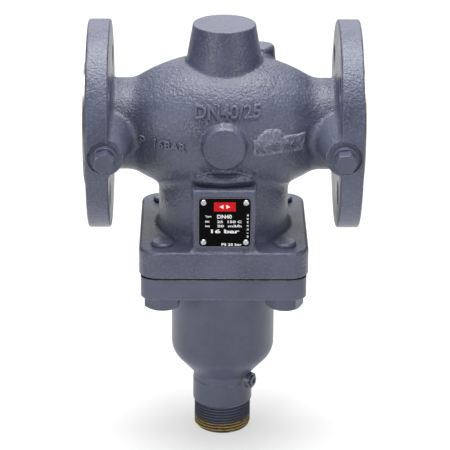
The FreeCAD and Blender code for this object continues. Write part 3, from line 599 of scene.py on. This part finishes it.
def grid_cut(bm: bmesh.types.BMesh, step: float) -> None:
    """Cut a flat shape along even lines both ways, so that it can be bent.

    Args:
        bm: The shape, in its own XY plane.
        step: Distance between the cuts, in millimetres.
    """
    for normal in (Vector((1, 0, 0)), Vector((0, 1, 0))):
        places = [v.co.dot(normal) for v in bm.verts]
        count = int((max(places) - min(places)) / step)
        for i in range(1, count + 1):
            where = min(places) + i * step
            bmesh.ops.bisect_plane(bm, geom=bm.verts[:] + bm.edges[:] + bm.faces[:], plane_co=normal * where,
                                   plane_no=normal, dist=CUT_MERGE)


def smooth_step(value: float, low: float, high: float) -> float:
    """A soft rise from 0 at low to 1 at high."""
    share = min(max((value - low) / (high - low), 0.0), 1.0)
    return share * share * (3 - 2 * share)


def hump(value: float, centre: float, half_width: float) -> float:
    """A soft ridge, 1 at its centre and 0 at half_width from it."""
    return 1 - smooth_step(abs(value - centre), 0.0, half_width)


def lumps(x: float, z: float, size: float, seed: float) -> float:
    """Seeded noise from about -1 to 1 whose lumps are so many millimetres apart."""
    return noise.noise(Vector((x / size, z / size, seed)))


@dataclass
class Lettering:
    """Raised or printed characters, as a flat shape in their own XY plane."""

    text: str
    height: float
    width: float
    depth: float
    bold: float = 0.0
    round_edge: float = 0.0

    def shape(self) -> bmesh.types.BMesh:
        """Build the characters, centred, with their backs at depth 0.

        Returns:
            The flat shape, in millimetres.
        """
        curve = bpy.data.curves.new("lettering", "FONT")
        curve.body = self.text
        curve.extrude = 0.03
        curve.bevel_depth = self.round_edge
        curve.bevel_resolution = 1 if self.round_edge else 0
        curve.resolution_u = 3
        curve.offset = self.bold - self.round_edge
        holder = put("lettering", curve)
        bpy.context.view_layer.update()
        mesh = bpy.data.meshes.new_from_object(holder.evaluated_get(bpy.context.evaluated_depsgraph_get()))
        bm = bmesh.new()
        bm.from_mesh(mesh)
        bpy.data.objects.remove(holder)
        bpy.data.curves.remove(curve)
        bpy.data.meshes.remove(mesh)
        bmesh.ops.remove_doubles(bm, verts=bm.verts[:], dist=CUT_MERGE)
        low = [min(v.co[i] for v in bm.verts) for i in range(3)]
        high = [max(v.co[i] for v in bm.verts) for i in range(3)]
        middle = Vector(((low[0] + high[0]) / 2, (low[1] + high[1]) / 2, low[2]))
        bmesh.ops.translate(bm, vec=-middle, verts=bm.verts[:])
        wanted = (self.width, self.height, self.depth)
        size = [full / (top - bottom) for full, top, bottom in zip(wanted, high, low)]
        bmesh.ops.scale(bm, vec=size, verts=bm.verts[:])
        return bm


# ---------- casting


@dataclass
class CastSurface:
    """The front of the cast body, as something to lay raised work on."""

    node: str = "valve_body"
    tree: BVHTree = field(init=False)

    def __post_init__(self) -> None:
        """Read the casting's faces once."""
        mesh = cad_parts[self.node].data
        corners = [v.co / MM for v in mesh.vertices]
        self.tree = BVHTree.FromPolygons(corners, [tuple(p.vertices) for p in mesh.polygons])

    def front(self, x: float, z: float) -> tuple[Vector, Vector]:
        """Find the surface as met from the front.

        Args:
            x: Place along the pipe, in millimetres.
            z: Height, in millimetres.

        Returns:
            The point and its outward normal, in millimetres.
        """
        place, normal, _, _ = self.tree.ray_cast(Vector((x, -200, z)), Vector((0, 1, 0)))
        if normal.y > 0:
            normal = -normal
        return place, normal

    def wrap(self, bm: bmesh.types.BMesh, centre: tuple[float, float], slope: float, sink: float) -> None:
        """Lay a flat shape on the casting.

        Args:
            bm: The shape in its own XY plane, its depth along Z.
            centre: (x, z) of its middle on the casting.
            slope: How far it leans, in degrees.
            sink: How far its back lies inside the iron.
        """
        turn = Matrix.Rotation(math.radians(slope), 2)
        for vert in bm.verts:
            flat = turn @ vert.co.xy
            place, normal = self.front(centre[0] + flat.x, centre[1] + flat.y)
            vert.co = place + normal * (vert.co.z - sink)

    def raise_patch(self, centre: tuple[float, float], size: tuple[float, float], step: float, slope: float,
                    height: Callable[[float, float], float]) -> bmesh.types.BMesh:
        """Raise a patch of the casting by a height rule, with its border sunk in the iron.

        Args:
            centre: (x, z) of its middle on the casting.
            size: Its width and height.
            step: Distance between its points.
            slope: How far it leans, in degrees.
            height: Height over the casting at (across, up) from its middle, in millimetres.

        Returns:
            A closed thin shell.
        """
        bm = bmesh.new()
        columns, rows = (max(2, round(s / step)) for s in size)
        bmesh.ops.create_grid(bm, x_segments=columns, y_segments=rows, size=0.5)
        bmesh.ops.scale(bm, vec=(size[0], size[1], 1), verts=bm.verts[:])
        turn = Matrix.Rotation(math.radians(slope), 2)
        for vert in bm.verts:
            across, up = vert.co.x, vert.co.y
            flat = turn @ vert.co.xy
            place, _ = self.front(centre[0] + flat.x, centre[1] + flat.y)
            vert.co = place - Vector((0, height(across, up), 0))
        bmesh.ops.recalc_face_normals(bm, faces=bm.faces[:])
        bm.faces.ensure_lookup_table()
        if sum(f.normal.y for f in bm.faces) > 0:
            bmesh.ops.reverse_faces(bm, faces=bm.faces[:])
        shell = bmesh.ops.extrude_face_region(bm, geom=bm.faces[:])
        back = [g for g in shell["geom"] if isinstance(g, bmesh.types.BMVert)]
        bmesh.ops.translate(bm, vec=(0, 1.2, 0), verts=back)
        return bm


@dataclass
class CastMarkings:
    """What the pattern maker put on the front of the barrel."""

    surface: CastSurface
    rating_centre: tuple[float, float] = (2.2, 23.9)
    pressure_centre: tuple[float, float] = (-43.0, -0.5)
    pad_centre: tuple[float, float] = (39.0, -0.6)
    pad_size: tuple[float, float] = (38.5, 14.0)
    pad_slope: float = 2.0
    pad_rise: float = 1.7
    flow_centre: tuple[float, float] = (36.5, -1.6)
    bump_centre: tuple[float, float] = (33.0, 8.6)
    bump_size: tuple[float, float] = (26.0, 11.0)
    bump_rise: float = 1.9
    sunk: float = 0.6
    step: float = 0.45

    def letter(self, name: str, lettering: Lettering, centre: tuple[float, float], slope: float,
               sink: float = 0.25) -> None:
        """Cast one row of characters onto the barrel.

        Args:
            name: The piece's name.
            lettering: The characters.
            centre: (x, z) of the row's middle.
            slope: How far the row leans, in degrees.
            sink: How far the characters are rooted in the iron.
        """
        bm = lettering.shape()
        grid_cut(bm, 1.2)
        self.surface.wrap(bm, centre, slope, sink)
        hand_over(name, bm, Body.VALVE, CAST_PAINT, Edge.CAST)

    def pad_height(self, across: float, up: float) -> float:
        """Shape the rough pad, which was reworked by hand in the mould.

        Args:
            across: Place from the middle, along the pipe.
            up: Height from the middle.

        Returns:
            Its height over the casting.
        """
        half_x, half_z = self.pad_size[0] / 2, self.pad_size[1] / 2
        ragged = 0.8 * lumps(across, up, 5.0, 1.0)
        inside = min(half_x - abs(across), half_z - abs(up)) + ragged
        rough = 0.5 * lumps(across, up, 2.3, 2.0) + 0.22 * lumps(across, up, 1.1, 3.0)
        rim = 0.12 * hump(inside, 1.6, 1.2)
        flat = self.pad_rise * smooth_step(inside, 0.2, 1.5)
        return -self.sunk + flat + (rough + rim) * smooth_step(inside, 0.5, 2.0)

    def bump_height(self, across: float, up: float) -> float:
        """Shape the filled-in bump above the pad.

        Args:
            across: Place from the middle, along the pipe.
            up: Height from the middle.

        Returns:
            Its height over the casting.
        """
        reach = math.hypot(across / 12.5, (up + 4.5) / 9.5)
        rough = 0.5 * lumps(across, up, 2.3, 7.0) + 0.2 * lumps(across, up, 1.1, 8.0)
        return -self.sunk + (self.bump_rise + rough) * (1 - smooth_step(reach, 0.55, 1.0))

    def build(self) -> None:
        """Cast every marking."""
        rating = Lettering("DN40/25", 9.2, 46.5, 1.5, 0.03, 0.025)
        self.letter("cast_size_and_rating", rating, self.rating_centre, 0.5)
        pressure = Lettering("P  16BAR", 6.6, 33.5, 1.9, 0.035, 0.025)
        self.letter("cast_pressure_row", pressure, self.pressure_centre, -4.0)
        pad = self.surface.raise_patch(self.pad_centre, self.pad_size, self.step, self.pad_slope,
                                       self.pad_height)
        # The pad takes a paler copy of the enamel: painted highlight.
        hand_over("cast_rough_pad", pad, Body.VALVE, LIT_REWORKED_PAINT, Edge.CAST)
        flow = Lettering("KVS 20", 5.6, 27.5, 2.1, 0.03, 0.025)
        self.letter("cast_flow_row", flow, self.flow_centre, 3.0, 0.1)
        # The bump takes the same paler copy: painted highlight.
        bump = self.surface.raise_patch(self.bump_centre, self.bump_size, self.step, 0.0, self.bump_height)
        hand_over("cast_filled_bump", bump, Body.VALVE, LIT_REWORKED_PAINT, Edge.CAST)


@dataclass
class CastBrow:
    """The ragged ledge that the core left between the front boss and the plate's pad."""

    surface: CastSurface
    centre: tuple[float, float] = (0.0, -22.8)
    size: tuple[float, float] = (51.0, 13.0)
    reach: float = 7.8
    sunk: float = 0.7

    def stand(self, across: float, up: float) -> float:
        """Shape the brow: a ledge with a barbed streak under it and a groove over its middle.

        Args:
            across: Place from the middle, along the pipe.
            up: Height from the middle.

        Returns:
            Its height over the casting, without its border.
        """
        wobble = 0.8 * lumps(across, 0.0, 8.0, 11.0) + 0.3 * lumps(across, up, 2.5, 12.0)
        side = abs(across)
        z = self.centre[1] + up + wobble * 0.4
        lip = -25.2 - 0.6 * hump(across, 0.0, 20.0)
        ledge = self.reach * smooth_step(z, lip - 1.2, lip + 0.1)
        ledge *= 1 - 0.75 * smooth_step(z, lip + 0.5, -18.5)
        ledge *= (1 - smooth_step(z, -20.0, -17.6)) * (1 - smooth_step(side, 18.0, 25.0))
        barb = -18.8 - 2.4 * smooth_step(side, 9.5, 22.0)
        streak = 1.9 * hump(z, barb, 1.3) * smooth_step(side, 8.0, 10.5) * (1 - smooth_step(side, 18.0, 23.5))
        groove = 1.8 * hump(z, -19.9, 1.3) * (1 - smooth_step(side, 9.0, 13.0))
        fade = 1 - smooth_step(side, 21.0, 24.6)
        return ledge + streak - groove + 0.35 * lumps(across, up, 1.7, 13.0) * fade

    def height(self, across: float, up: float) -> float:
        """Height of the brow over the casting, its border sunk in the iron."""
        border = min(self.size[0] / 2 - abs(across), self.size[1] / 2 - abs(up))
        return -self.sunk + (self.stand(across, up) + self.sunk) * smooth_step(border, 0.0, 1.5)

    def build(self) -> None:
        """Cast the brow."""
        bm = self.surface.raise_patch(self.centre, self.size, 0.4, 0.0, self.height)
        hand_over("cast_brow", bm, Body.VALVE, CAST_PAINT, Edge.CAST)


# ---------- name plate


@dataclass
class NamePlate:
    """Print on the riveted plate, and the rivets that hold it."""

    centre_x: float = 0.5
    centre_z: float = -53.7
    face: float = 58.8
    ink: float = 0.05
    bold: float = 0.032
    field_size: tuple[float, float] = (15.3, 6.9)
    field_up: float = 11.9
    sign: float = 1.9
    rivet_spacing: float = 30.0

    def place(self, bm: bmesh.types.BMesh, across: float, up: float, turn: float = 0.0) -> None:
        """Stand a flat shape on the plate's face.

        Args:
            bm: The shape in its own XY plane.
            across: Its middle, from the plate's centre.
            up: Its middle's height, from the plate's centre.
            turn: Its lean, in degrees.
        """
        stand = Matrix.Rotation(math.radians(90), 4, "X") @ Matrix.Rotation(math.radians(turn), 4, "Z")
        bmesh.ops.transform(bm, matrix=stand, verts=bm.verts[:])
        middle = (self.centre_x + across, -self.face, self.centre_z + up)
        bmesh.ops.translate(bm, vec=middle, verts=bm.verts[:])

    def print_rows(self) -> None:
        """Print each group of characters: its height and width, its middle across and up, and its lean."""
        for name, text, height, width, across, up, turn in (
                ("print_type_label", "Type", 1.7, 4.4, -11.6, 4.5, 0.0),
                ("print_type", "DN40", 3.0, 10.4, -0.2, 4.5, 0.0),
                ("print_range_label", "PN", 1.6, 2.8, -12.4, 0.6, 0.0),
                ("print_range", "25  150 C", 1.9, 17.3, 3.25, 0.6, 0.0),
                ("print_flow_label", "kvs", 1.6, 3.2, -12.2, -2.6, 0.0),
                ("print_flow", "20  m3/h", 1.9, 17.3, 3.25, -2.6, 0.0),
                ("print_outlet", "16 bar", 3.0, 20.1, 0.35, -6.6, 0.0),
                ("print_pressure", "PS 25 bar", 1.9, 14.5, 4.95, -16.7, 0.0),
                ("print_scale", "0 1 2 3 4 5 6", 1.3, 18.0, 16.2, -2.5, 90.0)):
            bm = Lettering(text, height, width, self.ink, self.bold).shape()
            self.place(bm, across, up, turn)
            hand_over(name, bm, Body.VALVE, WHITE_INK)

    def print_block(self) -> None:
        """Print the plain red field with a small valve sign in it."""
        bm = bmesh.new()
        bmesh.ops.create_cube(bm, size=1)
        bmesh.ops.scale(bm, vec=(*self.field_size, self.ink), verts=bm.verts[:])
        self.place(bm, 0.0, self.field_up)
        hand_over("print_red_field", bm, Body.VALVE, RED_INK)
        sign = bmesh.new()
        for side in (-1, 1):
            made = bmesh.ops.create_cone(sign, cap_ends=True, segments=3, radius1=self.sign,
                                         radius2=self.sign, depth=self.ink * 2)
            turn = Matrix.Rotation(math.radians(-90 * side), 4, "Z")
            bmesh.ops.transform(sign, matrix=turn, verts=made["verts"])
            bmesh.ops.translate(sign, vec=(self.sign * side, 0, 0), verts=made["verts"])
        self.place(sign, 0.0, self.field_up)
        hand_over("print_valve_sign", sign, Body.VALVE, WHITE_INK)

    def rivets(self) -> None:
        """Domed rivets, each with the setting tool's dimple in its head."""
        bm = bmesh.new()
        half = self.rivet_spacing / 2
        outline = [(1.0, -4.0), (1.0, 0.0), (2.15, 0.0), (2.15, 0.25), *rounded((1.1, 0.2), 0.9, 30, 85),
                   (0.75, 0.98), (0.5, 0.55), (0.0001, 0.45)]
        for side_x, side_z in ((-1, -1), (-1, 1), (1, -1), (1, 1)):
            rivet = turned_shape(outline, 24)
            mesh = bpy.data.meshes.new("rivet")
            self.place(rivet, side_x * half, side_z * half)
            rivet.to_mesh(mesh)
            rivet.free()
            bm.from_mesh(mesh)
            bpy.data.meshes.remove(mesh)
        bmesh.ops.holes_fill(bm, edges=bm.edges[:])
        piece = hand_over("plate_rivets", bm, Body.VALVE, RIVET)
        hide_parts("name_plate_rivets")

    def build(self) -> None:
        """Print the plate and set its rivets."""
        self.print_block()
        self.print_rows()
        self.rivets()


# ---------- threaded neck


@dataclass
class ThreadedNipple:
    """The steel nipple with its G 1 1/4 thread, cut as a true helix."""

    crest: float = 20.955
    root: float = 19.476
    pitch: float = 2.309
    land: float = 0.35
    shoulder: float = -218.0
    end: float = -240.0
    chamfer: float = 2.2
    mouth: float = 14.0
    steps: int = 96

    def helix(self) -> bmesh.types.BMesh:
        """Sweep one turn's profile up the axis, past both ends, and cut it to length.

        Returns:
            The open threaded skin.
        """
        bm = bmesh.new()
        flank = (self.pitch - 2 * self.land) / 2
        start = self.end - 2 * self.pitch
        profile = add_line(bm, [
            (self.root, start), (self.root, start + self.land), (self.crest, start + self.land + flank),
            (self.crest, start + 2 * self.land + flank), (self.root, start + self.pitch),
        ])
        turns = math.ceil((self.shoulder - start) / self.pitch) + 1
        count = turns * self.steps
        bmesh.ops.spin(bm, geom=profile, cent=(0, 0, 0), axis=STEM_AXIS, dvec=(0, 0, self.pitch / self.steps),
                       angle=math.tau * turns, steps=count, use_merge=False, use_duplicate=False)
        bmesh.ops.remove_doubles(bm, verts=bm.verts[:], dist=SEAM_MERGE)
        for height, outwards in ((self.end, -1), (self.shoulder, 1)):
            bmesh.ops.bisect_plane(bm, geom=bm.verts[:] + bm.edges[:] + bm.faces[:], plane_co=(0, 0, height),
                                   plane_no=(0, 0, outwards), clear_outer=True, dist=CUT_MERGE)
        for vert in bm.verts:
            limit = self.crest - self.chamfer + (vert.co.z - self.end)
            reach = vert.co.xy.length
            if reach > limit:
                vert.co.xy *= limit / reach
        return bm

    def build(self) -> None:
        """Close the thread with its mouth, shank and bore."""
        bm = self.helix()
        inner = add_line(bm, [
            (17.0, self.shoulder), (17.0, -190.0), (9.0, -190.0), (9.0, -206.0), (self.mouth, -206.0),
            (self.mouth, self.end + 0.8), (self.mouth + 0.8, self.end),
        ])
        bmesh.ops.spin(bm, geom=inner, cent=(0, 0, 0), axis=STEM_AXIS, dvec=(0, 0, 0), angle=math.tau,
                       steps=self.steps, use_merge=True, use_duplicate=False)
        for height in (self.shoulder, self.end):
            rims = [e for e in bm.edges if e.is_boundary
                    and all(abs(v.co.z - height) < SEAM_MERGE for v in e.verts)]
            bmesh.ops.bridge_loops(bm, edges=rims)
        piece = hand_over("nipple_thread", bm, Body.VALVE, CHROMATE)
        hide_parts("actuator_nipple")


# ---------- bellows and spring


@dataclass
class Bellows:
    """Thin stainless bellows."""

    crest: float = 24.75
    root: float = 19.25
    bottom: float = -150.0
    top: float = -52.0
    folds: int = 12
    wall: float = 0.5
    keep: float = 0.918

    def build(self) -> None:
        """Turn the folds, and thicken them inwards."""
        pitch = (self.top - self.bottom) / self.folds
        bend = pitch / 4
        points: list[tuple[float, float]] = []
        for i in range(self.folds):
            low = self.bottom + i * pitch
            points += rounded((self.root + bend, low), bend, 180, 90, 3)[0 if i == 0 else 1:]
            points += rounded((self.crest - bend, low + 2 * bend), bend, -90, 90, 6)
            points += rounded((self.root + bend, low + 4 * bend), bend, 270, 180, 3)
        bm = turned_shape(points, 72)
        bmesh.ops.remove_doubles(bm, verts=bm.verts[:], dist=SEAM_MERGE)
        bmesh.ops.recalc_face_normals(bm, faces=bm.faces[:])
        bmesh.ops.solidify(bm, geom=bm.faces[:], thickness=self.wall)
        piece = hand_over("folded_bellows", bm, Body.VALVE, BELLOWS_STEEL, Edge.CAST)
        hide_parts("bellows")
        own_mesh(piece)


@dataclass
class Spring:
    """The closing spring, wound from round wire."""

    radius: float = 14.0
    wire: float = 1.5
    bottom: float = -148.4
    length: float = 100.8
    turns: int = 12
    steps: int = 36
    keep: float = 0.923

    def build(self) -> None:
        """Sweep the wire's section up a helix."""
        bm = bmesh.new()
        made = bmesh.ops.create_circle(bm, cap_ends=True, segments=14, radius=self.wire)
        bmesh.ops.transform(bm, matrix=Matrix.Rotation(math.radians(90), 4, "X"), verts=made["verts"])
        bmesh.ops.translate(bm, vec=(self.radius, 0, self.bottom), verts=made["verts"])
        count = self.turns * self.steps
        bmesh.ops.spin(bm, geom=bm.faces[:], cent=(0, 0, 0), axis=STEM_AXIS, dvec=(0, 0, self.length / count),
                       angle=math.tau * self.turns, steps=count, use_duplicate=False)
        piece = hand_over("wound_spring", bm, Body.VALVE, SPRING_STEEL, Edge.CAST)
        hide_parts("closing_spring")
        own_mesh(piece)


# ---------- paint on the frame


@dataclass
class FrameFinishes:
    """The finish of each CAD node. Those that the plan leaves out are stainless steel, or hidden."""

    plan: dict[str, Finish] = field(default_factory=lambda: {
        "valve_body": BODY_PAINT,
        "bonnet": BONNET_PAINT,
        "bonnet_gasket": GRAPHITE,
        "bonnet_bolts": FASTENER_PAINT,
        "nipple_lock_screw": FASTENER_PAINT,
        "inlet_tapping_plug": FASTENER_PAINT,
        "outlet_tapping_plug": FASTENER_PAINT,
        "inlet_plug_washer": FASTENER_PAINT,
        "outlet_plug_washer": FASTENER_PAINT,
        "name_plate": PLATE,
        "seat_ring_gasket": GRAPHITE,
        "upper_guide_bush": BRONZE,
        "stem_guide_bush": BRONZE,
        "stem_o_rings": RUBBER,
        "seal_spacer": PLASTIC,
        "gland_nut": BRONZE,
        "bellows_base_gasket": GRAPHITE,
        "bellows_retaining_ring": SPRING_STEEL,
    })

    def dress(self) -> None:
        """Give every CAD node its finish."""
        for name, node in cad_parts.items():
            finish = self.plan.get(name, STAINLESS)
            node.data.materials.clear()
            node.data.materials.append(finish.material())
            LOG.info("%s: %s", name, finish.name)


# ---------- studio


@dataclass
class Studio:
    """A pale floor with a faint glow, four soft lamps in a dark surround, and the camera."""

    floor_height: float = -240.0
    eye: tuple[float, float, float] = (-15.0, -1601.8, 563.7)
    yaw: float = 0.01015
    pitch: float = 21.864
    roll: float = 0.00607
    lens: float = 188.2
    surround: float = 0.06
    floor_glow: float = 0.55

    def floor(self) -> None:
        """Lay a plain floor that fills the view. Its faint glow keeps the valve's shadow off it."""
        bm = bmesh.new()
        bmesh.ops.create_grid(bm, x_segments=1, y_segments=1, size=6.0)
        bmesh.ops.translate(bm, vec=(0, 0, self.floor_height * MM), verts=bm.verts[:])
        mesh = bpy.data.meshes.new("floor")
        bm.to_mesh(mesh)
        bm.free()
        material = bpy.data.materials.new("matt_white_board")
        material.use_nodes = True
        shader = material.node_tree.nodes["Principled BSDF"]
        shader.inputs["Base Color"].default_value = linear("#A6A6A6")
        shader.inputs["Roughness"].default_value = 0.9
        shader.inputs["Emission Color"].default_value = linear("#FFFFFF")
        shader.inputs["Emission Strength"].default_value = self.floor_glow
        mesh.materials.append(material)
        floor = put("floor", mesh)

    def lamp(self, name: str, place: tuple[float, float, float], size: float, power: float,
             target: tuple[float, float, float] = (0, 0, -60)) -> None:
        """Hang one square soft light.

        Args:
            name: The light's name.
            place: Where it hangs, in millimetres.
            size: Its side, in millimetres.
            power: Its power, in watts.
            target: What it points at.
        """
        light = bpy.data.lights.new(name, "AREA")
        light.shape = "SQUARE"
        light.size = size * MM
        light.energy = power
        holder = put(name, light)
        holder.location = Vector(place) * MM
        aim = (Vector(target) - Vector(place)).normalized()
        holder.rotation_euler = aim.to_track_quat("-Z", "Y").to_euler()

    def lights(self) -> None:
        """Hang a broad lamp overhead, a dim one behind and two in front, in a dark surround."""
        self.lamp("overhead", (0, 100, 1500), 1500, 60.0)
        self.lamp("behind_and_above", (0, 1900, 1000), 1500, 13.0)
        self.lamp("front_left", (-1500, -1750, 550), 650, 19.0)
        self.lamp("front_right", (1500, -1750, 500), 600, 13.0)
        world = bpy.data.worlds.new("studio")
        world.use_nodes = True
        tree = world.node_tree
        seen = add_node(tree, "ShaderNodeLightPath", "Is Camera Ray")
        strength = add_node(tree, RANGE, "Result", {"To Min": self.surround}, {"Value": seen})
        tree.nodes["Background"].inputs["Color"].default_value = linear("#FFFFFF")
        tree.links.new(strength, tree.nodes["Background"].inputs["Strength"])
        bpy.context.scene.world = world

    def camera(self) -> None:
        """Point a long lens down at the valve from the front."""
        pitch = math.radians(self.pitch)
        level = Vector((math.sin(self.yaw), math.cos(self.yaw), 0)) * math.cos(pitch)
        forward = level - STEM_AXIS * math.sin(pitch)
        right = forward.cross(STEM_AXIS).normalized()
        up = right.cross(forward)
        right, up = (right * math.cos(self.roll) + up * math.sin(self.roll),
                     up * math.cos(self.roll) - right * math.sin(self.roll))
        data = bpy.data.cameras.new("camera")
        data.lens = self.lens
        data.sensor_width = 36.0
        data.clip_end = 20.0
        camera = put("camera", data)
        turn = Matrix((right, up, -forward)).transposed().to_4x4()
        camera.matrix_world = Matrix.Translation(Vector(self.eye) * MM) @ turn
        bpy.context.scene.camera = camera

    def build(self) -> None:
        """Set the whole studio."""
        bpy.context.scene.view_settings.view_transform = "Standard"
        self.floor()
        self.lights()
        self.camera()


def main() -> None:
    """Set the studio, dress the frame and add every piece."""
    logging.basicConfig(level=logging.INFO, format="%(name)s %(message)s")
    Studio().build()
    FrameFinishes().dress()
    surface = CastSurface()
    CastMarkings(surface).build()
    CastBrow(surface).build()
    NamePlate().build()
    ThreadedNipple().build()
    Bellows().build()
    Spring().build()


if __name__ == "__main__":
    main()
